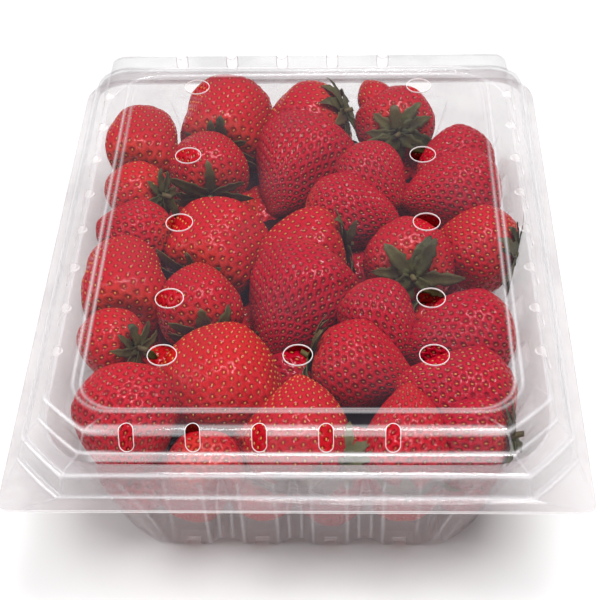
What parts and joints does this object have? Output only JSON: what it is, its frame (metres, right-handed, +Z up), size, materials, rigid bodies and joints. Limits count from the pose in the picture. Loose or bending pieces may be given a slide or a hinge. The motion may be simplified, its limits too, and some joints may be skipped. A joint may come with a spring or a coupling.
{
  "type": "punnet of strawberries",
  "caption": "Clear hinged punnet with ribbed walls and a vented domed lid, filled to the lid with whole fresh strawberries.",
  "frame": {"origin": "on the surface the pack stands on, under the middle of the flange", "axes": "+X to the right seen from the front, +Y from the front edge to the hinge, +Z up"},
  "size_m": [0.1906, 0.241, 0.0691],
  "materials": {
    "clear_plastic": "clear thermoformed sheet, glossy, with whitened cut edges",
    "strawberry": "moist crimson skin with sunken yellow seeds and green leaf caps"
  },
  "bodies": {
    "tub": {"tub": "clear_plastic", "berries": "strawberry"},
    "lid": {"lid": "clear_plastic"}
  },
  "joints": [
    {"name": "lid_fold", "type": "hinge", "parent": "tub", "child": "lid", "pos_m": [0, 0.1209, 0.05215], "axis": [-1, 0, 0], "range_deg": [0, 180]}
  ]
}
